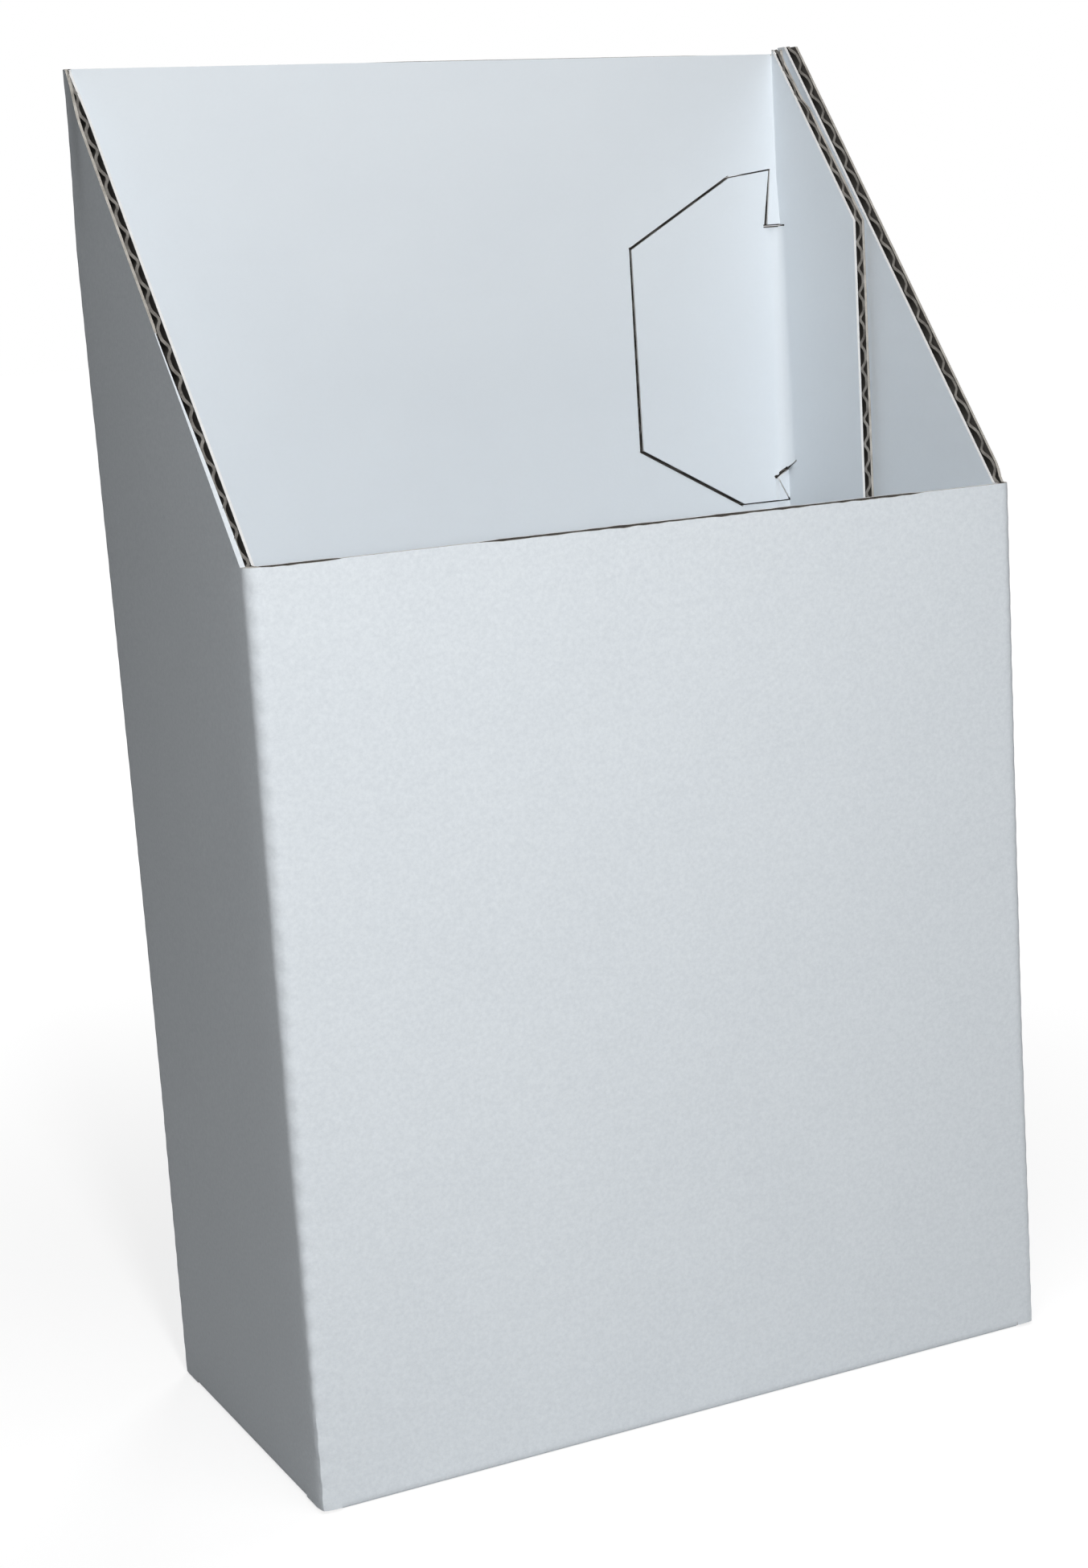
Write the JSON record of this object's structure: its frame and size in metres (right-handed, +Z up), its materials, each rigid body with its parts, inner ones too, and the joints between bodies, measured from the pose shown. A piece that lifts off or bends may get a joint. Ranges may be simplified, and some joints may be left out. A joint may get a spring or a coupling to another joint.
{
  "type": "brochure box",
  "caption": "Open-fronted corrugated brochure box with a low front, sloping sides, a tall back, a glued side seam and a die-cut lock tab.",
  "frame": {"origin": "middle of the base, on the surface that the box stands on", "axes": "+Z up along the height, +Y from the front panel to the back panel, +X from the left panel to the right panel"},
  "size_m": [0.24, 0.117, 0.398],
  "materials": {
    "white_corrugated": "matt white liner with raw grey-brown flutes at the cut edges"
  },
  "bodies": {
    "root": {"folded_box": "white_corrugated"}
  },
  "joints": []
}
